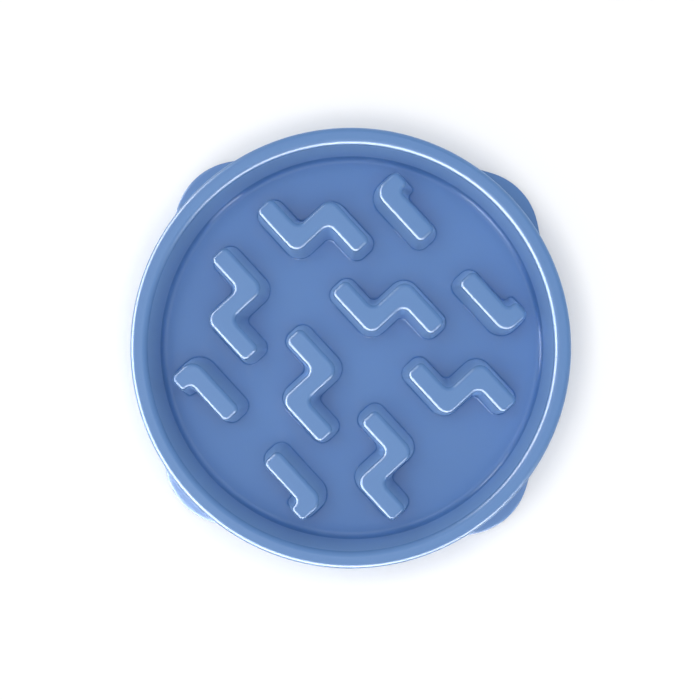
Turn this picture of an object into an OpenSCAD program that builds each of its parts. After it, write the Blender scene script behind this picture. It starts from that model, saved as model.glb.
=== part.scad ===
// Slow feeder bowl: one moulded shell with a maze of hollow ridges, on four push-in rubber feet.
// Millimetres, +Z up. The origin is on the table, under the middle of the bowl.

/* [Dish] */
// Outer radius of the rim
rim_r = 109; // [106:0.5:114]
// Height of the rim above the table
bowl_h = 50; // [46:0.5:60]
// Width of the rim's flat top
rim_land = 8.6; // [8:0.1:11]
// Height of the floor above the table
floor_h = 7; // [6:0.5:10]
// Outward lean of the inner wall, in degrees
wall_draft = 1.75; // [0:0.25:3]
// Thickness of the moulded wall
wall = 2.2; // [1.6:0.1:2.4]
// How far the skirt's foot stands out beyond the rim
skirt_out = 3; // [2:0.5:6]
// Gap between the skirt and the table
table_gap = 1.5; // [1:0.1:2]
// Rounding of the rim's outer edge
rim_round = 2.4; // [1:0.1:3]
// Rounding of the lip's inner edge
lip_round = 2.8; // [1:0.1:4.4]
// Rounding between the floor and the wall
corner_round = 3; // [1:0.5:4]

/* [Ears] */
// How far an ear's tip stands out beyond the skirt's foot
ear_out = 7.4; // [6:0.1:10]
// Radius of an ear, seen from above
ear_r = 33; // [28:1:38]
// Radius that blends an ear into the skirt
ear_blend = 15; // [10:1:20]
// Height of an ear's edge above the table
ear_edge_h = 9; // [8:0.5:14]
// Slope of an ear's top, in degrees
ear_slope = 25; // [15:1:40]

/* [Ridges] */
// Depth of the ridge tops below the rim
ridge_drop = 6; // [2:0.5:14]
// Width of a ridge across its top
ridge_w = 10.2; // [8:0.1:11]
// Lean of the ridge sides, in degrees
ridge_draft = 4; // [2:0.25:5]
// Rounding of the ridges' top edges
ridge_edge = 1.4; // [0.6:0.1:1.6]
// Rounding of an outside bend, seen from above
bend_out_r = 5.8; // [4:0.1:7]
// Rounding of an inside bend, seen from above
bend_in_r = 3.7; // [3:0.1:5]
// Rounding of a ridge's end corners, seen from above
end_r = 3; // [2.6:0.1:4]

/* [Stepped ridges] */
// Floor radius that the places of all the ridges are given for
maze_floor_r = 99.1; // [98:0.1:104]
// Distance from one stepped ridge to the next
step_pitch = 55.2; // [52:0.1:60]
// Distance from the middle line to the near stroke
near_line = 16.5; // [14:0.5:20]
// Distance from the middle line to the far stroke
far_line = 38.5; // [34:0.5:42]
// Width of the cross stroke between them
cross_w = 9.4; // [8:0.1:11]
// Reach of a stroke from the middle of its ridge
stroke_reach = 24.6; // [20:0.1:27]
// Reach of the last stroke in a row
last_reach = 22.4; // [18:0.1:24]
// Shift of the rows along their own direction
row_shift = -1.1; // [-2:0.1:2]
// How far one row lags the other
row_lag = 2.2; // [0:0.1:4]

/* [Hooked ridges] */
// Distance from the middle line to a hooked ridge
bar_line = 66; // [62:0.5:68]
// Distance from the middle to a hooked ridge's near end
bar_near = 13.8; // [10:0.1:18]
// Distance from the middle to a hooked ridge's far end
bar_far = 48.6; // [44:0.1:50]
// How far the hook stands out from the ridge's side
hook_out = 5.3; // [4:0.1:6]
// Width of the hook
hook_w = 9; // [8:0.1:11]
// Rounding of the bend outside the hook, seen from above
hook_turn_r = 7; // [4:0.1:9]
// Rounding of the bend inside the hook, seen from above
hook_bend_r = 2.7; // [1.5:0.1:3]
// Rounding of the hook's inner end corner, seen from above
hook_end_r = 2.6; // [2:0.1:3]

/* [Feet] */
// Radius of a foot's pad
foot_r = 6; // [5:0.1:6.5]
// Height of a foot's pad
foot_h = 3; // [2.4:0.1:4]
// Bevel round a pad's edges
foot_bevel = 0.6; // [0.3:0.1:1]
// Radius of a foot's stem
stem_r = 2.5; // [2:0.1:3]
// Length of a foot's stem
stem_h = 4.5; // [3:0.1:4.5]
// Distance of a foot's middle inside the skirt's foot
foot_inset = 3; // [2:0.1:3.5]
// Play round a stem in its socket
stem_gap = 0.1; // [0.05:0.05:0.2]
// Room left above a stem in its socket
socket_room = 0.5; // [0.2:0.1:1]

/* [Hidden] */
$fn = 96;
// Steps in a ridge's corners, in rounded edges, and along the curves of an ear
bend_steps = 4;
round_steps = 4;
blend_steps = 4;
tip_steps = 14;
// Every cut runs this far past what it cuts
overrun = 1;
quarter = 90;
lip_r = rim_r - rim_land;
corner_r = lip_r - (bowl_h - floor_h) * tan(wall_draft);
base_r = rim_r + skirt_out;
ear_reach = base_r + ear_out;
foot_place = base_r - foot_inset;
ridge_top = bowl_h - ridge_drop;
half_w = ridge_w / 2;
edge_round = min(ridge_edge, end_r / 2);
// Least rounding of a corner, and least straight between two corners
least_bit = 0.1;
hook_corner_r = min(hook_end_r, hook_out - hook_bend_r - least_bit);
// The maze follows the size of the floor
fit = corner_r / maze_floor_r;
pitch = step_pitch * fit;
near = near_line * fit;
far = far_line * fit;
reach = stroke_reach * fit;
ear_turns = [45, 135, 225, 315];
foot_turns = [315, 45, 135, 225];

// Points on an arc from angle a to angle b
function arc(x, y, r, a, b, steps) =
    [for (i = [0 : steps]) let (t = a + (b - a) * i / steps) [x + r * cos(t), y + r * sin(t)]];

// Dish: everything under the visible surface, as one turned solid
module dish_outside() {
    rotate_extrude()
        polygon(concat(
            [[0, floor_h], [0, table_gap], [base_r, table_gap]],
            arc(rim_r - rim_round, bowl_h - rim_round, rim_round, 0, quarter, round_steps),
            arc(lip_r + lip_round, bowl_h - lip_round, lip_round, quarter, 2 * quarter, round_steps),
            arc(corner_r - corner_round, floor_h + corner_round, corner_round, 0, -quarter, round_steps)));
}

// The open space under the floor and between the inner wall and the skirt
module dish_underside() {
    rotate_extrude()
        polygon(concat(
            [[0, table_gap - overrun],
                [base_r - wall, table_gap - overrun],
                [base_r - wall, table_gap],
                [rim_r - wall, bowl_h - wall],
                [lip_r + wall, bowl_h - wall]],
            arc(corner_r - corner_round, floor_h + corner_round, corner_round + wall,
                0, -quarter, round_steps),
            [[0, floor_h - wall]]));
}

// Outline of the ear on +X, grown by a given amount, with hollow blends into the skirt
module ear_outline(grow) {
    body = base_r - wall / 2 + grow;
    tip = ear_r + grow;
    blend = ear_blend - grow;
    centre = ear_reach - ear_r;
    hub = body + blend;
    turn = acos((centre ^ 2 + hub ^ 2 - (tip + blend) ^ 2) / (2 * centre * hub));
    tip_turn = atan2(hub * sin(turn), hub * cos(turn) - centre);
    polygon(concat(
        arc(hub * cos(turn), -hub * sin(turn), blend,
            2 * quarter - turn, 2 * quarter - tip_turn, blend_steps),
        arc(centre, 0, tip, -tip_turn, tip_turn, tip_steps),
        arc(hub * cos(turn), hub * sin(turn), blend,
            2 * quarter + tip_turn, 2 * quarter + turn, blend_steps)));
}

// The space below a plane that slopes down towards the ear on +X
module below_slope(low, drop) {
    rotate([quarter, 0, 0])
        linear_extrude(height = 2 * (ear_r + ear_blend), center = true)
            polygon([
                [lip_r, low],
                [ear_reach + overrun, low],
                [ear_reach + overrun, ear_edge_h - drop - overrun * tan(ear_slope)],
                [lip_r, ear_edge_h - drop + (ear_reach - lip_r) * tan(ear_slope)]]);
}

module ear(grow, low, drop) {
    intersection() {
        linear_extrude(height = bowl_h)
            ear_outline(grow);
        below_slope(low, drop);
    }
}

module ears(grow, low, drop) {
    for (turn = ear_turns) {
        rotate(turn)
            ear(grow, low, drop);
    }
}

// A closed outline of square corners, each rounded with its own radius.
// The corners run along one side of the ridge and back along the other.
function unit(v) = v / norm(v);
function rounded(corners, radii) =
    [for (i = [0 : len(corners) - 1])
        let (count = len(corners),
            back = unit(corners[(i + count - 1) % count] - corners[i]),
            ahead = unit(corners[(i + 1) % count] - corners[i]),
            middle = corners[i] + radii[i] * (back + ahead))
        for (k = [0 : bend_steps])
            let (t = quarter * k / bend_steps)
            middle - radii[i] * (ahead * cos(t) + back * sin(t))];

// Stepped ridge: near stroke, cross stroke and far stroke, grown by g
function stepped(g, last) =
    let (h = half_w + g,
        s = (far - near) / 2,
        c = cross_w / 2 + g,
        a = reach + g,
        b = last + g,
        o = bend_out_r + g,
        i = bend_in_r - min(g, 0),
        e = end_r + g)
    rounded(
        [[-a, -s - h], [c, -s - h], [c, s - h], [b, s - h],
            [b, s + h], [-c, s + h], [-c, -s + h], [-a, -s + h]],
        [e, o, i, e, e, o, i, e]);

// Hooked ridge: a straight stroke with a short hook at its far end, grown by g
function hooked(g) =
    let (h = half_w + g,
        a = bar_near * fit - g,
        b = bar_far * fit + g,
        k = h + hook_out,
        w = hook_w + 2 * g,
        o = hook_turn_r + g,
        i = hook_bend_r - min(g, 0),
        j = max(hook_corner_r + min(g, 0), least_bit),
        e = end_r + g)
    rounded(
        [[a, -h], [b, -h], [b, k], [b - w, k], [b - w, h], [a, h]],
        [e, o, e, j, i, e]);

// Sizes [growth, height] up a ridge's outside, from under the floor to the flat top
function outside_rungs() =
    let (lean = tan(ridge_draft),
        low = floor_h - wall / 2,
        middle = edge_round * (lean - 1 / cos(ridge_draft)))
    concat(
        [[(ridge_top - low) * lean, low]],
        [for (k = [0 : round_steps - 1])
            let (t = ridge_draft + (quarter - ridge_draft) * k / (round_steps - 1))
            [middle + edge_round * cos(t), ridge_top - edge_round + edge_round * sin(t)]]);

// The same up its hollow inside
function inside_rungs() =
    let (lean = tan(ridge_draft),
        low = floor_h - wall - overrun,
        high = ridge_top - wall)
    [[(ridge_top - low) * lean - wall, low], [(ridge_top - high) * lean - wall, high]];

// Solid through a stack of outlines with the same number of points
module loft(outlines, heights) {
    n = len(outlines[0]);
    m = len(outlines);
    points = [for (j = [0 : m - 1]) for (p = outlines[j]) [p.x, p.y, heights[j]]];
    sides = [for (j = [0 : m - 2]) for (i = [0 : n - 1])
        [j * n + i, (j + 1) * n + i, (j + 1) * n + (i + 1) % n, j * n + (i + 1) % n]];
    lid = [for (i = [0 : n / 2 - 2]) [i, n - 1 - i, n - 2 - i, i + 1]];
    top = [for (f = lid) [for (i = f) (m - 1) * n + i]];
    bottom = [for (f = lid) [f[3], f[2], f[1], f[0]]];
    polyhedron(points, concat(sides, top, bottom));
}

module stepped_ridge(rungs, last) {
    loft([for (r = rungs) stepped(r[0], last)], [for (r = rungs) r[1]]);
}

module hooked_ridge(rungs) {
    loft([for (r = rungs) hooked(r[0])], [for (r = rungs) r[1]]);
}

// The maze: two rows of stepped ridges that mirror each other, and a pair of hooked ridges beside each
module ridges(rungs) {
    rotate(-quarter / 2)
        for (side = [1, -1]) {
            shift = (row_shift - side * row_lag / 2) * fit;
            mirror([0, side < 0 ? 1 : 0, 0]) {
                for (place = [-1, 0, 1]) {
                    translate([shift + place * pitch, (near + far) / 2, 0])
                        stepped_ridge(rungs, place == 1 ? last_reach * fit : reach);
                }
                for (end = [1, -1]) {
                    translate([row_shift * fit, bar_line * fit, 0])
                        mirror([end < 0 ? 1 : 0, 0, 0])
                            hooked_ridge(rungs);
                }
            }
        }
}

// Posts inside the ears that hold the feet
module foot_posts() {
    for (turn = foot_turns) {
        rotate(turn)
            intersection() {
                translate([foot_place, 0, 0])
                    cylinder(r = foot_r, h = bowl_h);
                below_slope(foot_h, wall / 2);
            }
    }
}

module foot_sockets() {
    for (turn = foot_turns) {
        rotate(turn)
            translate([foot_place, 0, foot_h - overrun])
                cylinder(r = stem_r + stem_gap, h = overrun + stem_h + socket_room);
    }
}

module bowl() {
    color("#6c92c6")
        difference() {
            union() {
                difference() {
                    union() {
                        dish_outside();
                        ears(0, table_gap, 0);
                        ridges(outside_rungs());
                    }
                    dish_underside();
                    ears(-wall, table_gap - overrun, wall / cos(ear_slope));
                    ridges(inside_rungs());
                }
                foot_posts();
            }
            foot_sockets();
        }
}

// Rubber foot: a bevelled pad with a round stem on top
module foot(turn) {
    rotate(turn)
        translate([foot_place, 0, 0])
            color("#3a3f47")
                rotate_extrude()
                    polygon([
                        [0, 0],
                        [foot_r - foot_bevel, 0],
                        [foot_r, foot_bevel],
                        [foot_r, foot_h - foot_bevel],
                        [foot_r - foot_bevel, foot_h],
                        [stem_r, foot_h],
                        [stem_r, foot_h + stem_h - foot_bevel],
                        [stem_r - foot_bevel, foot_h + stem_h],
                        [0, foot_h + stem_h]]);
}

module foot_front_right() { foot(foot_turns[0]); }
module foot_rear_right() { foot(foot_turns[1]); }
module foot_rear_left() { foot(foot_turns[2]); }
module foot_front_left() { foot(foot_turns[3]); }

bowl();
foot_front_right();
foot_rear_right();
foot_rear_left();
foot_front_left();
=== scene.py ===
import math

import bmesh
import bpy
from mathutils import Matrix, Vector


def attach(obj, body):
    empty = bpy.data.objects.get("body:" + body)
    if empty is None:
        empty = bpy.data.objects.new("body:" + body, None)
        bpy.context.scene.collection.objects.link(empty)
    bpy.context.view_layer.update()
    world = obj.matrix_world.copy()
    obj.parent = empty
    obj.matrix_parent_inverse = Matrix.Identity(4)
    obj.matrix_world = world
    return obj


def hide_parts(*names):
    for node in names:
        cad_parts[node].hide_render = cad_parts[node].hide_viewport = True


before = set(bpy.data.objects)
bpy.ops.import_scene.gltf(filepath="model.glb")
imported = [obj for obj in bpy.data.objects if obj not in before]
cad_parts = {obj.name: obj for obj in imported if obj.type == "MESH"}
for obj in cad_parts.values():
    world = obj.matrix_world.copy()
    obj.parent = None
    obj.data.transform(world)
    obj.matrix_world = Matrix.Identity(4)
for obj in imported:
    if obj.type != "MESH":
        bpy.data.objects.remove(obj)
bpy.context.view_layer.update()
print("frame loaded")

# Everything is modelled in millimetres and brought to metres when a piece is done.
millimetre = 0.001
tolerance = 0.01           # how near a vertex has to be to count as on a ring or level
creaseAngle = 32.0         # edges that turn by more degrees stay crisp in the shading


def isAt(value, wanted):
    return abs(value - wanted) < tolerance


def pick(kind, wanted):
    # edit mode: selects only the vertices, edges or faces that pass the test
    bpy.ops.mesh.select_mode(type=kind)
    bpy.ops.mesh.select_all(action="DESELECT")
    shape = bmesh.from_edit_mesh(bpy.context.object.data)
    for part in {"VERT": shape.verts, "EDGE": shape.edges, "FACE": shape.faces}[kind]:
        if wanted(part):
            part.select_set(True)
    shape.select_flush_mode()
    bmesh.update_edit_mesh(bpy.context.object.data)


def makeActive(piece):
    bpy.ops.object.select_all(action="DESELECT")
    piece.select_set(True)
    bpy.context.view_layer.objects.active = piece


def openEdit(piece=None):
    # a piece that was just added is active already
    if piece:
        makeActive(piece)
    bpy.ops.object.mode_set(mode="EDIT")
    bpy.ops.mesh.select_all(action="SELECT")


def closeEdit(name=None):
    bpy.ops.object.mode_set(mode="OBJECT")
    piece = bpy.context.object
    if name:
        piece.name = name
        piece.data.name = name
    return piece


def move(x, y, z):
    return {"value": (x, y, z)}


def turnRound(piece, degrees):
    piece.data.transform(Matrix.Rotation(math.radians(degrees), 4, "Z"))


def joinPieces(pieces):
    makeActive(pieces[0])
    for piece in pieces:
        piece.select_set(True)
    bpy.ops.object.join()
    return bpy.context.object


def finishPiece(name):
    # still in edit mode: faces outwards, real size, smooth with crisp corners
    bpy.ops.mesh.select_all(action="SELECT")
    bpy.ops.mesh.normals_make_consistent(inside=False)
    bpy.ops.transform.resize(value=(millimetre,) * 3, center_override=(0, 0, 0))
    piece = closeEdit(name)
    bpy.ops.object.shade_smooth_by_angle(angle=math.radians(creaseAngle))
    return piece


# Bowl: one moulded shell. Its dish is turned round the axis, from the floor over the rim and
# back under the floor.
bowl = {
    "height": 50.0,        # rim above the table
    "rim": 109.0,          # outer radius of the rim
    "rimRound": 2.4,
    "rimTuck": 0.2,        # the skirt starts this far inside the rim's radius
    "lip": 100.4,          # radius of the opening
    "lipRound": 3.0,
    "corner": 99.09,       # inner wall where it meets the floor
    "cornerRound": 3.0,
    "seam": 95.6,          # turned part ends here, the floor between the ridges starts
    "floor": 7.0,
    "wall": 2.2,
    "foot": 112.0,         # skirt at its foot
    "footRound": 0.5,
    "footTop": 4.0,        # the foot's rounding lies below this height
    "skirtGap": 1.5,       # air under the skirt
    "skirtInside": 103.0,  # below the ears' band only the skirt lies further out than this
    "hiddenRound": 1.0,    # under the rim
    "hiddenCorner": 5.2,   # under the floor's corner
    "earBand": 20.0,       # the skirt is finely divided below this height
    "bandCuts": 34,
    "steps": 256,          # round the axis
    "weld": 0.001,         # vertices closer than this become one
}


def onRing(radius, height):
    # a test for the edges of one turned ring
    def test(edge):
        return all(isAt(v.co.z, height) and isAt(v.co.to_2d().length, radius)
                   for v in edge.verts)
    return test


def turnRings(rings, steps, closed):
    # rings are (radius, height, rounding, segments), each drawn out of the one before
    bpy.ops.mesh.primitive_circle_add(vertices=steps, radius=rings[0][0],
                                      fill_type="NGON" if closed else "NOTHING")
    openEdit()
    bpy.ops.transform.translate(value=(0, 0, rings[0][1]))
    for (oldRadius, oldHeight, _, _), (radius, height, _, _) in zip(rings, rings[1:]):
        bpy.ops.mesh.extrude_region_move(TRANSFORM_OT_translate=move(0, 0, height - oldHeight))
        growth = radius / oldRadius
        bpy.ops.transform.resize(value=(growth, growth, 1), center_override=(0, 0, 0))
    for radius, height, rounding, segments in rings:
        if rounding:
            pick("EDGE", onRing(radius, height))
            bpy.ops.mesh.bevel(offset=rounding, segments=segments, profile=0.5, affect="EDGES")


def skirtRadius(height):
    # outside of the skirt, which leans out from the rim to its foot
    drop = (bowl["height"] - height) / (bowl["height"] - bowl["skirtGap"])
    top = bowl["rim"] - bowl["rimTuck"]
    return top + (bowl["foot"] - top) * drop


def inEarBand(edge):
    # an edge of the skirt that runs from its foot up to the top of the ears' band
    low, high = sorted(v.co.z for v in edge.verts)
    return (low < bowl["footTop"] and isAt(high, bowl["earBand"])
            and edge.verts[0].co.to_2d().length > bowl["skirtInside"])


def turnDish():
    wall = bowl["wall"]
    under = bowl["height"] - wall
    band = skirtRadius(bowl["earBand"])
    turnRings([
        (bowl["seam"], bowl["floor"], 0, 0),
        (bowl["corner"], bowl["floor"], bowl["cornerRound"], 6),
        (bowl["lip"], bowl["height"], bowl["lipRound"], 10),
        (skirtRadius(bowl["height"]), bowl["height"], bowl["rimRound"], 9),
        (band, bowl["earBand"], 0, 0),
        (bowl["foot"], bowl["skirtGap"], bowl["footRound"], 3),
        (bowl["foot"] - wall, bowl["skirtGap"], bowl["footRound"], 3),
        (band - wall, bowl["earBand"], 0, 0),
        (bowl["rim"] - 2 * bowl["rimTuck"] - wall, under, bowl["hiddenRound"], 3),
        (bowl["lip"] + wall, under, bowl["hiddenRound"], 3),
        (bowl["corner"] + wall, bowl["floor"] - wall, bowl["hiddenCorner"], 6),
        (bowl["seam"], bowl["floor"] - wall, 0, 0),
    ], bowl["steps"], False)
    pick("EDGE", inEarBand)
    bpy.ops.mesh.subdivide(number_cuts=bowl["bandCuts"])
    return closeEdit("dish")


# Ears: the foot of the skirt is drawn out to four low lugs
ear = {
    "turns": (45, 135, 225, 315),
    "reach": 119.4,        # from the bowl's axis
    "radius": 33.0,
    "blend": 15.0,         # hollow round between the ear and the skirt
    "edgeHeight": 9.0,
    "slope": 10.0,         # degrees by which its top falls outwards
    "edgeSoft": 1.6,       # softness of its upper edge
    "rootSoft": 5.0,       # softness where its top meets the skirt
    "halfTurn": 18.0,      # degrees to each side of its middle that it can take up
    "sideFade": 0.05,      # radians over which it dies out there
    "topFade": 3.0,        # height over which it dies out below the top of the band
    "rowsAbove": 0.7,      # the skirt's rows crowd together this far above its edge
    "rowsReach": 7.0,      # and come from this far above and below
    "rowsPull": 6.1,       # how strongly
}


def softMin(a, b, soft):
    gap = max(soft - abs(a - b), 0) / soft
    return min(a, b) - gap * gap * soft / 4


def softMax(a, b, soft):
    return -softMin(-a, -b, soft)


def earOutline(turn, grow):
    # distance from the axis to the ear's outline, at this angle from its middle
    body = bowl["foot"] - bowl["wall"] / 2 + grow
    tip = ear["radius"] + grow
    blend = ear["blend"] - grow
    centre = ear["reach"] - ear["radius"]
    hub = body + blend
    hubTurn = math.acos((centre ** 2 + hub ** 2 - (tip + blend) ** 2) / (2 * centre * hub))
    if turn > hubTurn:
        return body
    along = hub * math.cos(hubTurn) - centre
    across = hub * math.sin(hubTurn)
    share = tip / (tip + blend)
    tipTurn = math.atan2(across * share, centre + along * share)
    if turn < tipTurn:
        return centre * math.cos(turn) + math.sqrt(tip ** 2 - (centre * math.sin(turn)) ** 2)
    away = hubTurn - turn
    return hub * math.cos(away) - math.sqrt(blend ** 2 - (hub * math.sin(away)) ** 2)


def gathered(height, grow):
    # the skirt's rows crowd together where the ear's top is
    away = (height - ear["edgeHeight"] - ear["rowsAbove"] - grow) / ear["rowsReach"]
    if abs(away) >= 1:
        return height
    return height - ear["rowsPull"] * away * (1 - away ** 2) ** 2


def earPush(turn, height, grow):
    # how far the skirt moves out here; grow is 0 outside and minus the wall inside
    slope = math.radians(ear["slope"])
    skirt = skirtRadius(height) + grow
    drop = -grow / math.cos(slope)
    top = ear["reach"] - (height + drop - ear["edgeHeight"]) / math.tan(slope)
    lug = softMin(earOutline(turn, grow), top / math.cos(turn), ear["edgeSoft"])
    return softMax(skirt, lug, ear["rootSoft"]) - skirt


def drawEars(dish):
    widest = math.radians(ear["halfTurn"])
    for vertex in dish.data.vertices:
        radius = math.hypot(vertex.co.x, vertex.co.y)
        height = vertex.co.z
        if height > bowl["earBand"] + tolerance or radius < bowl["skirtInside"]:
            continue
        angle = math.atan2(vertex.co.y, vertex.co.x)
        grow = 0 if radius > skirtRadius(height) - bowl["wall"] / 2 else -bowl["wall"]
        lifted = gathered(height, grow)
        outwards = Vector((math.cos(angle), math.sin(angle), 0))
        vertex.co += outwards * (skirtRadius(lifted) - skirtRadius(height))
        vertex.co.z = lifted
        topFade = min(1, (bowl["earBand"] - lifted) / ear["topFade"])
        for middle in ear["turns"]:
            turn = abs((angle - math.radians(middle) + math.pi) % (2 * math.pi) - math.pi)
            if turn < widest:
                sideFade = min(1, (widest - turn) / ear["sideFade"])
                vertex.co += outwards * earPush(turn, lifted, grow) * topFade * sideFade


# Ridges: the outline of the foot is one face, and rings of it climb to the top
ridge = {
    "turn": -45.0,         # the maze lies on a grid turned by this
    "top": 44.0,
    "halfWidth": 5.1,      # of the two long strokes
    "halfCross": 4.7,      # of the stroke between them
    "lean": 4.0,           # degrees by which the sides lean in
    "footRound": 1.1,
    "edgeRound": 2.3,
    "outsideBend": 5.8,
    "insideBend": 3.7,
    "endCorner": 3.0,
    "bendSteps": 7,
    "near": 16.5,          # middle lines of the long strokes, from the middle of the maze
    "far": 38.5,
    "pitch": 55.2,         # from one stepped ridge of a row to the next
    "reach": 24.6,         # of a stepped ridge to each side of its middle
    "lastReach": 22.4,     # and of the last one's end
    "shift": -1.1,         # of both rows along their length
    "lag": 2.2,            # of one row behind the other
    "barLine": 66.0,       # middle line of the hooked ridges
    "barNear": 13.8,
    "barFar": 48.6,
    "hookOut": 5.3,
    "hookWidth": 9.0,
    "hookTurn": 7.0,
    "hookBend": 2.7,
    "hookCorner": 2.5,
    "leastRound": 0.1,
    "hollowRound": 0.8,    # all small rounds on the hidden side
}


def climb(side):
    # growth of the outline and height, from the foot's fillet up the wall and over the top edge
    lean = math.radians(ridge["lean"])
    foot, edge, steps = side["footRound"], side["edgeRound"], side["steps"]

    def wallAt(height):
        return (ridge["top"] - height) * math.tan(lean) - side["inset"]

    start = wallAt(side["base"] + foot) + foot / math.cos(lean)
    middle = wallAt(side["top"] - edge) - edge / math.cos(lean)
    sweep = math.pi / 2 - lean
    turns = [sweep * step / steps for step in range(steps + 1)]
    fillet = [(start - foot * math.sin(t), side["base"] + foot - foot * math.cos(t))
              for t in turns]
    topEdge = [(middle + edge * math.cos(lean + t), side["top"] - edge + edge * math.sin(lean + t))
               for t in turns]
    return fillet + topEdge


def roundedOutline(corners):
    # corners are (x, y, radius) in order; every one is a right angle
    points = []
    for index, (x, y, radius) in enumerate(corners):
        here = Vector((x, y))
        back = (Vector(corners[index - 1][:2]) - here).normalized()
        ahead = (Vector(corners[(index + 1) % len(corners)][:2]) - here).normalized()
        for step in range(ridge["bendSteps"] + 1):
            t = math.pi / 2 * step / ridge["bendSteps"]
            bend = back + ahead - ahead * math.cos(t) - back * math.sin(t)
            points.append(here + radius * bend)
    return points


def steppedOutline(grow, last):
    # two long strokes side by side and one across; last is how far the second one reaches
    half = ridge["halfWidth"] + grow
    cross = ridge["halfCross"] + grow
    side = (ridge["far"] - ridge["near"]) / 2
    start, end = -ridge["reach"] - grow, last + grow
    outer = ridge["outsideBend"] + grow
    inner = ridge["insideBend"] - min(grow, 0)
    tip = ridge["endCorner"] + grow
    return roundedOutline([
        (start, -side - half, tip), (cross, -side - half, outer),
        (cross, side - half, inner), (end, side - half, tip),
        (end, side + half, tip), (-cross, side + half, outer),
        (-cross, -side + half, inner), (start, -side + half, tip)])


def hookedOutline(grow, last):
    # one bar with a short hook at its far end
    half = ridge["halfWidth"] + grow
    near, far = ridge["barNear"] - grow, last + grow
    hook = half + ridge["hookOut"]
    inside = far - ridge["hookWidth"] - 2 * grow
    outer = ridge["hookTurn"] + grow
    inner = ridge["hookBend"] - min(grow, 0)
    tip = ridge["endCorner"] + grow
    stub = max(ridge["hookCorner"] + min(grow, 0), ridge["leastRound"])
    return roundedOutline([
        (near, -half, tip), (far, -half, outer), (far, hook, tip),
        (inside, hook, stub), (inside, half, inner), (near, half, tip)])


def raiseRidge(drawOutline, last, rungs, name):
    base = rungs[0][1]
    outline = drawOutline(rungs[0][0], last)
    mesh = bpy.data.meshes.new(name)
    mesh.from_pydata([(x, y, base) for x, y in outline], [], [range(len(outline))])
    pattern = bpy.data.objects.new(name, mesh)
    bpy.context.scene.collection.objects.link(pattern)
    openEdit(pattern)
    for (_, oldHeight), (growth, height) in zip(rungs, rungs[1:]):
        bpy.ops.mesh.extrude_region_move(TRANSFORM_OT_translate=move(0, 0, height - oldHeight))
        shape = bmesh.from_edit_mesh(mesh)
        after = drawOutline(growth, last)
        for vertex in [v for v in shape.verts if v.select]:
            here = vertex.co.to_2d()
            index = min(range(len(outline)), key=lambda i: (outline[i] - here).length_squared)
            vertex.co.x, vertex.co.y = after[index]
        bmesh.update_edit_mesh(mesh)
        outline = after
    # the foot's own face goes, so that the ridge can join the floor
    pick("FACE", lambda face: all(isAt(v.co.z, base) for v in face.verts))
    bpy.ops.mesh.delete(type="ONLY_FACE")
    return closeEdit()


def placeCopy(pattern, x, y, mirrorX, mirrorY):
    makeActive(pattern)
    bpy.ops.object.duplicate()
    openEdit(bpy.context.object)
    bpy.ops.transform.resize(value=(-1 if mirrorX else 1, 1, 1), center_override=(0, 0, 0))
    bpy.ops.transform.translate(value=(x, y, 0))
    bpy.ops.transform.resize(value=(1, -1 if mirrorY else 1, 1), center_override=(0, 0, 0))
    copy = closeEdit()
    turnRound(copy, ridge["turn"])
    return copy


def layMaze(side):
    # two mirrored rows of three stepped ridges, and a pair of hooked ones beyond each row
    rungs = climb(side)
    stepped = raiseRidge(steppedOutline, ridge["reach"], rungs, "stepped")
    steppedLast = raiseRidge(steppedOutline, ridge["lastReach"], rungs, "steppedLast")
    hooked = raiseRidge(hookedOutline, ridge["barFar"], rungs, "hooked")
    line = (ridge["near"] + ridge["far"]) / 2
    placed = []
    for row in (1, -1):
        shift = ridge["shift"] - row * ridge["lag"] / 2
        for place in (-1, 0, 1):
            placed.append(placeCopy(steppedLast if place == 1 else stepped,
                                    shift + place * ridge["pitch"], line, False, row < 0))
        for end in (1, -1):
            placed.append(placeCopy(hooked, ridge["shift"], ridge["barLine"], end < 0, row < 0))
    for pattern in (stepped, steppedLast, hooked):
        bpy.data.objects.remove(pattern)
    return placed


# Posts: under each ear, with the blind socket that its foot's stem pushes into
post = {
    "place": 109.0,        # its middle, from the bowl's axis
    "radius": 6.0,
    "bottom": 3.0,         # it rests on the foot's pad
    "start": 24.0,         # its height before it is cut off under the ear's top
    "bore": 2.6,
    "boreTop": 8.0,
    "mouthRound": 0.35,
    "steps": 48,
}


def inMouth(edge):
    # an edge along one of the two rings at the post's lower end
    radii = {round(math.hypot(v.co.x - post["place"], v.co.y), 2) for v in edge.verts}
    return len(radii) == 1 and all(isAt(v.co.z, post["bottom"]) for v in edge.verts)


def makePost(turn):
    depth = post["start"] - post["bottom"]
    bpy.ops.mesh.primitive_cylinder_add(vertices=post["steps"], radius=post["radius"], depth=depth)
    openEdit()
    bpy.ops.transform.translate(value=(post["place"], 0, post["bottom"] + depth / 2))
    pick("FACE", lambda face: face.normal.z < -0.9)  # the lower end
    bpy.ops.mesh.inset(thickness=post["radius"] - post["bore"])
    bpy.ops.mesh.extrude_region_move(
        TRANSFORM_OT_translate=move(0, 0, post["boreTop"] - post["bottom"]))
    pick("EDGE", inMouth)
    bpy.ops.mesh.bevel(offset=post["mouthRound"], segments=2, profile=0.5, affect="EDGES")
    # the upper end follows the ear's slope, in the middle of its wall
    slope = math.radians(ear["slope"])
    top = ear["edgeHeight"] + (ear["reach"] - post["place"]) * math.tan(slope) - bowl["wall"] / 2
    bpy.ops.mesh.select_all(action="SELECT")
    bpy.ops.mesh.bisect(plane_co=(post["place"], 0, top),
                        plane_no=(math.sin(slope), 0, math.cos(slope)),
                        use_fill=True, clear_outer=True)
    made = closeEdit("post")
    turnRound(made, turn)
    return made


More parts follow.
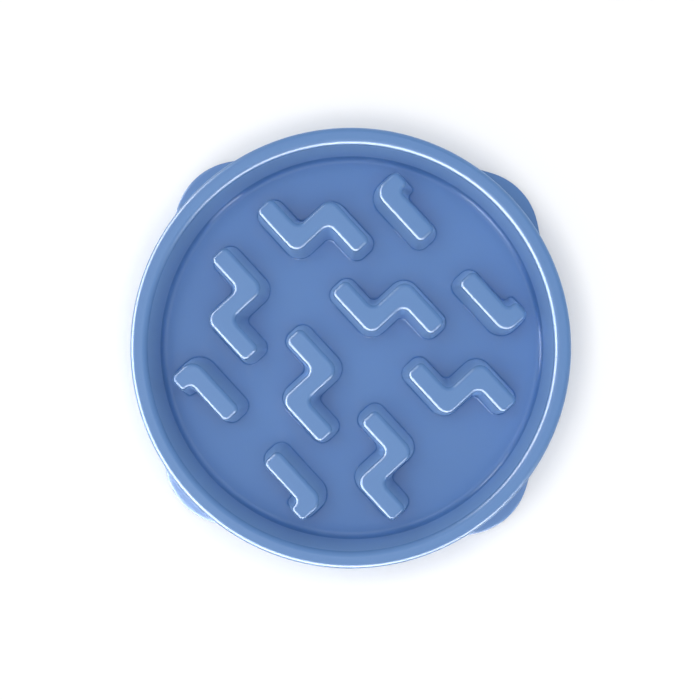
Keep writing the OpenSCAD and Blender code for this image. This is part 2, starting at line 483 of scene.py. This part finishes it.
# Gate mark: the low round seat under the floor, with the cut stub where the plastic came in
gate = {
    "seat": 4.0,
    "seatDepth": 0.3,
    "seatRound": 0.15,
    "stub": 1.1,
    "stubRoot": 1.2,
    "stubDepth": 0.8,
    "sunk": 1.0,           # it reaches this far into the floor
    "steps": post["steps"],
}


def makeGateMark():
    low = bowl["floor"] - bowl["wall"]
    turnRings([
        (gate["stub"], low - gate["stubDepth"], 0, 0),
        (gate["stubRoot"], low - gate["seatDepth"], 0, 0),
        (gate["seat"], low - gate["seatDepth"], gate["seatRound"], 2),
        (gate["seat"], low + gate["sunk"], 0, 0),
    ], gate["steps"], True)
    return closeEdit("gateMark")


def makeShell():
    dish = turnDish()
    drawEars(dish)
    print("dish turned")
    outside = {"base": bowl["floor"], "top": ridge["top"], "inset": 0, "steps": 7,
               "footRound": ridge["footRound"], "edgeRound": ridge["edgeRound"]}
    hollow = {"base": bowl["floor"] - bowl["wall"], "top": ridge["top"] - bowl["wall"],
              "inset": bowl["wall"], "steps": 3,
              "footRound": ridge["hollowRound"], "edgeRound": ridge["hollowRound"]}
    shell = joinPieces([dish] + layMaze(outside) + layMaze(hollow))
    openEdit(shell)
    for side in (outside, hollow):
        # the floor between the dish and the feet of the ridges
        pick("EDGE", lambda edge: edge.is_boundary and all(isAt(v.co.z, side["base"])
                                                           for v in edge.verts))
        bpy.ops.mesh.fill(use_beauty=True)
    bpy.ops.mesh.select_all(action="SELECT")
    bpy.ops.mesh.remove_doubles(threshold=bowl["weld"])
    bpy.ops.mesh.normals_make_consistent(inside=False)
    closeEdit()
    posts = joinPieces([makePost(turn) for turn in ear["turns"]] + [makeGateMark()])
    union = shell.modifiers.new("posts", "BOOLEAN")
    union.operation = "UNION"
    union.solver = "EXACT"
    union.object = posts
    makeActive(shell)
    bpy.ops.object.modifier_apply(modifier="posts")
    bpy.data.objects.remove(posts)
    openEdit(shell)
    finishPiece("mouldedBowl")
    shell.modifiers.new("softShade", "WEIGHTED_NORMAL").keep_sharp = True
    bpy.ops.object.modifier_apply(modifier="softShade")
    print("ridges raised:", len(shell.data.polygons), "faces")
    return shell


# Rubber feet: a soft pad with a grip groove and a hollow sole, and a stem with a barb
pad = {
    "turns": {"foot_front_right": 315, "foot_rear_right": 45,
              "foot_rear_left": 135, "foot_front_left": 225},
    "radius": post["radius"],
    "height": post["bottom"],
    "soleRound": 0.8,
    "topRound": 0.5,
    "hollow": 3.0,         # mouth of the hollow under the stem
    "hollowTop": 2.4,
    "hollowDepth": 0.7,
    "hollowRound": 0.15,
    "groove": 4.0,
    "grooveEnd": 4.7,
    "grooveDepth": 0.4,
    "grooveLean": 0.1,
    "neck": 2.2,
    "neckRound": 0.2,
    "neckLength": 2.4,
    "stem": 2.5,           # at the barb
    "barbStart": 2.9,      # above the pad
    "barbEnd": 3.3,
    "barbRound": 0.1,
    "tip": 1.5,
    "tipRound": 0.3,
    "tipHeight": 7.5,      # above the table
    "steps": post["steps"],
}


def makeFoot(node):
    height = pad["height"]
    turnRings([
        (pad["hollowTop"], pad["hollowDepth"], 0, 0),
        (pad["hollow"], 0, pad["hollowRound"], 2),
        (pad["groove"], 0, 0, 0),
        (pad["groove"] + pad["grooveLean"], pad["grooveDepth"], 0, 0),
        (pad["grooveEnd"] - pad["grooveLean"], pad["grooveDepth"], 0, 0),
        (pad["grooveEnd"], 0, 0, 0),
        (pad["radius"], 0, pad["soleRound"], 4),
        (pad["radius"], height, pad["topRound"], 4),
        (pad["neck"], height, pad["neckRound"], 2),
        (pad["neck"], height + pad["neckLength"], 0, 0),
        (pad["stem"], height + pad["barbStart"], pad["barbRound"], 2),
        (pad["stem"], height + pad["barbEnd"], pad["barbRound"], 2),
        (pad["tip"], pad["tipHeight"], pad["tipRound"], 3),
    ], pad["steps"], True)
    bpy.ops.mesh.select_all(action="SELECT")
    bpy.ops.transform.translate(value=(post["place"], 0, 0))
    foot = finishPiece("rubberFoot" + "".join(word.title() for word in node.split("_")[1:]))
    turnRound(foot, pad["turns"][node])
    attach(foot, "root")
    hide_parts(node)
    return foot


shell = makeShell()
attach(shell, "root")
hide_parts("bowl")
feet = [makeFoot(node) for node in pad["turns"]]
print("feet made")


# Materials

def srgb(code):
    # sRGB hex to linear
    parts = [int(code[i:i + 2], 16) / 255 for i in (1, 3, 5)]
    linear = [c / 12.92 if c <= 0.04045 else ((c + 0.055) / 1.055) ** 2.4 for c in parts]
    return (*linear, 1)


def addNode(tree, kind, settings, links=()):
    # settings name sockets or the node's own values; links are (socket, node, output)
    node = tree.nodes.new(kind)
    for name, value in settings.items():
        if name in node.inputs:
            node.inputs[name].default_value = value
        else:
            setattr(node, name, value)
    for socket, source, output in links:
        tree.links.new(source.outputs[output], node.inputs[socket])
    return node


def newMaterial(name):
    material = bpy.data.materials.new(name)
    material.use_nodes = True
    material.node_tree.nodes.clear()
    return material, material.node_tree


def coat(piece, material):
    piece.data.materials.clear()
    piece.data.materials.append(material)


plastic = {
    "colours": ("#5480b9", "#5782ba"),
    "roughness": (0.33, 0.35),
    "flow": (0.3, 0.7),    # part of the noise over which colour and roughness change
    "flowSize": 35.0,      # millimetres
    "grainSize": 1.2,      # millimetres; the real grain is finer, this is what can still show
    "grainDepth": 0.02,
    "grainStrength": 0.04,
    "sheen": 0.7,
    "sheenSpread": 0.5,
    "sheenTint": (0.36, 0.6, 0.95, 1),
}


def mouldedAbs():
    # injection moulded ABS from a satin tool: an even colour, a bright line on every edge,
    # and a fine texture that lightens the sides where they are seen edge on
    material, tree = newMaterial("mouldedAbs")
    place = addNode(tree, "ShaderNodeTexCoord", {})
    flow = addNode(tree, "ShaderNodeTexNoise",
                   {"Scale": 1 / (plastic["flowSize"] * millimetre), "Detail": 2.0},
                   [("Vector", place, "Object")])
    colour = addNode(tree, "ShaderNodeValToRGB", {}, [("Fac", flow, "Fac")])
    for stop, share, code in zip(colour.color_ramp.elements, plastic["flow"], plastic["colours"]):
        stop.position = share
        stop.color = srgb(code)
    grain = addNode(tree, "ShaderNodeTexNoise",
                    {"Scale": 1 / (plastic["grainSize"] * millimetre), "Detail": 2.0},
                    [("Vector", place, "Object")])
    bump = addNode(tree, "ShaderNodeBump",
                   {"Strength": plastic["grainStrength"],
                    "Distance": plastic["grainDepth"] * millimetre},
                   [("Height", grain, "Fac")])
    start, end = plastic["flow"]
    smooth, rough = plastic["roughness"]
    shine = addNode(tree, "ShaderNodeMapRange",
                    {"From Min": start, "From Max": end, "To Min": smooth, "To Max": rough},
                    [("Value", flow, "Fac")])
    shader = addNode(tree, "ShaderNodeBsdfPrincipled",
                     {"IOR": 1.5, "Sheen Weight": plastic["sheen"],
                      "Sheen Roughness": plastic["sheenSpread"],
                      "Sheen Tint": plastic["sheenTint"]},
                     [("Base Color", colour, "Color"), ("Roughness", shine, "Result"),
                      ("Normal", bump, "Normal")])
    addNode(tree, "ShaderNodeOutputMaterial", {}, [("Surface", shader, "BSDF")])
    return material


softRubber = {
    "colours": ("#33373d", "#444951"),
    "roughness": 0.75,
    "grainSize": 0.6,      # millimetres
    "grainDepth": 0.05,
    "grainStrength": 0.4,
}


def mouldedRubber():
    # compression moulded thermoplastic rubber: dark, matt, with a fine dusty grain
    material, tree = newMaterial("mouldedRubber")
    place = addNode(tree, "ShaderNodeTexCoord", {})
    grain = addNode(tree, "ShaderNodeTexNoise",
                    {"Scale": 1 / (softRubber["grainSize"] * millimetre), "Detail": 3.0},
                    [("Vector", place, "Object")])
    colour = addNode(tree, "ShaderNodeValToRGB", {}, [("Fac", grain, "Fac")])
    for stop, code in zip(colour.color_ramp.elements, softRubber["colours"]):
        stop.color = srgb(code)
    bump = addNode(tree, "ShaderNodeBump",
                   {"Strength": softRubber["grainStrength"],
                    "Distance": softRubber["grainDepth"] * millimetre},
                   [("Height", grain, "Fac")])
    shader = addNode(tree, "ShaderNodeBsdfPrincipled",
                     {"IOR": 1.5, "Roughness": softRubber["roughness"]},
                     [("Base Color", colour, "Color"), ("Normal", bump, "Normal")])
    addNode(tree, "ShaderNodeOutputMaterial", {}, [("Surface", shader, "BSDF")])
    return material


coat(shell, mouldedAbs())
rubber = mouldedRubber()
for foot in feet:
    coat(foot, rubber)
print("materials made")

# Floor, lights and camera. The photograph is turned 2.4 degrees against the bowl's diagonals.
studio = {
    "photoTurn": 2.4,
    "camera": (0.0128, 0.0060, 0.850),
    "aim": (-0.00006, -0.00079, 0.050),
    "lens": 83.5,
    "sensor": 36,
    "clipStart": 0.01,
    "lampAim": (0, 0, 0.03),
    "floorSize": 8,
    "floorColour": "#f4f4f4",
    "paintedShadeRing": (0.118, 0.132),    # the floor's glow grows between these distances, so it paints shade on the floor near the bowl
    "floorGlowAndPaintedShade": (0.08, 0.19),     # from the first, weaker strength near the bowl, which is painted shade, to the second
    "worldLight": 0.46,
}
lamps = {
    # turn is in the photograph's plane, from its right; rise is above the floor
    "overheadSoftbox": {"turn": 190, "rise": 87, "distance": 1.6, "size": (0.9, 0.9),
                        "watts": 14.0, "diffuse": True, "glossy": False},
    # bright line on the edges that face the lower left
    "edgeStrip": {"turn": 225, "rise": 24, "distance": 1.0, "size": (2.2, 0.8),
                  "watts": 128.0, "diffuse": False, "glossy": True},
    # these two carry it on round the bends
    "leftStrip": {"turn": 156, "rise": 16, "distance": 1.0, "size": (0.8, 0.52),
                  "watts": 26.0, "diffuse": False, "glossy": True},
    "lowerStrip": {"turn": 294, "rise": 16, "distance": 1.0, "size": (0.8, 0.52),
                   "watts": 26.0, "diffuse": False, "glossy": True},
}


def photoAxes():
    # the photograph's right and up, on the floor
    turn = math.radians(studio["photoTurn"])
    right = Vector((math.cos(turn), math.sin(turn), 0))
    up = Vector((-math.sin(turn), math.cos(turn), 0))
    return right, up


def seenRays(tree):
    # 1 where the surface itself is seen: from the camera, in the gloss or through something clear
    ray = addNode(tree, "ShaderNodeLightPath", {})
    direct = addNode(tree, "ShaderNodeMath", {"operation": "MAXIMUM"},
                     [(0, ray, "Is Camera Ray"), (1, ray, "Is Glossy Ray")])
    return addNode(tree, "ShaderNodeMath", {"operation": "MAXIMUM"},
                   [(0, direct, "Value"), (1, ray, "Is Transmission Ray")])


def makeFloor():
    # matt paper; where it is seen it glows a little brighter than it is lit, but the glow is
    # weaker near the bowl, so painted shade darkens the floor round it
    bpy.ops.mesh.primitive_plane_add(size=studio["floorSize"])
    floor = bpy.context.object
    floor.name = "studioFloor"
    material, tree = newMaterial("studioPaper")
    paper = addNode(tree, "ShaderNodeBsdfDiffuse", {"Color": srgb(studio["floorColour"])})
    place = addNode(tree, "ShaderNodeTexCoord", {})
    away = addNode(tree, "ShaderNodeVectorMath", {"operation": "LENGTH"},
                   [(0, place, "Object")])
    # painted shade: less glow near the bowl darkens the floor there and deepens its shadow
    near, far = studio["paintedShadeRing"]
    shadedGlow, fullGlow = studio["floorGlowAndPaintedShade"]
    glowWithPaintedShade = addNode(tree, "ShaderNodeMapRange",
                   {"interpolation_type": "SMOOTHSTEP", "From Min": near, "From Max": far,
                    "To Min": shadedGlow, "To Max": fullGlow},
                   [("Value", away, "Value")])
    white = addNode(tree, "ShaderNodeEmission", {"Color": (1, 1, 1, 1)},
                    [("Strength", glowWithPaintedShade, "Result")])
    both = addNode(tree, "ShaderNodeAddShader", {}, [(0, paper, "BSDF"), (1, white, "Emission")])
    mix = addNode(tree, "ShaderNodeMixShader", {},
                  [("Fac", seenRays(tree), "Value"), (1, paper, "BSDF"), (2, both, "Shader")])
    addNode(tree, "ShaderNodeOutputMaterial", {}, [("Surface", mix, "Shader")])
    coat(floor, material)


def makeWorld():
    # white where it is seen, directly or in the gloss, and plain soft light otherwise
    world = bpy.data.worlds.new("studioWorld")
    bpy.context.scene.world = world
    world.use_nodes = True
    tree = world.node_tree
    tree.nodes.clear()
    light = addNode(tree, "ShaderNodeBackground",
                    {"Color": (1, 1, 1, 1), "Strength": studio["worldLight"]})
    view = addNode(tree, "ShaderNodeBackground", {"Color": (1, 1, 1, 1), "Strength": 1.0})
    mix = addNode(tree, "ShaderNodeMixShader", {},
                  [("Fac", seenRays(tree), "Value"), (1, light, "Background"),
                   (2, view, "Background")])
    addNode(tree, "ShaderNodeOutputWorld", {}, [("Surface", mix, "Shader")])


def aimAt(thing, target, up):
    back = (thing.location - Vector(target)).normalized()
    side = up.cross(back).normalized()
    thing.rotation_euler = Matrix((side, back.cross(side), back)).transposed().to_euler()


def makeLamp(name):
    lamp = lamps[name]
    right, up = photoAxes()
    above = Vector((0, 0, 1))
    turn, rise = math.radians(lamp["turn"]), math.radians(lamp["rise"])
    bpy.ops.object.light_add(type="AREA")
    light = bpy.context.object
    light.name = name
    light.data.shape = "RECTANGLE"
    light.data.size, light.data.size_y = lamp["size"]
    light.data.energy = lamp["watts"]
    level = right * math.cos(turn) + up * math.sin(turn)
    light.location = (level * math.cos(rise) + above * math.sin(rise)) * lamp["distance"]
    light.visible_diffuse = lamp["diffuse"]
    light.visible_glossy = lamp["glossy"]
    aimAt(light, studio["lampAim"], above)


def makeCamera():
    bpy.ops.object.camera_add(location=studio["camera"])
    camera = bpy.context.object
    camera.name = "photoCamera"
    camera.data.lens = studio["lens"]
    camera.data.sensor_width = studio["sensor"]
    camera.data.clip_start = studio["clipStart"]
    aimAt(camera, studio["aim"], photoAxes()[1])
    bpy.context.scene.camera = camera


makeFloor()
makeWorld()
for name in lamps:
    makeLamp(name)
makeCamera()
bpy.context.scene.view_settings.view_transform = "Standard"
print("studio set")
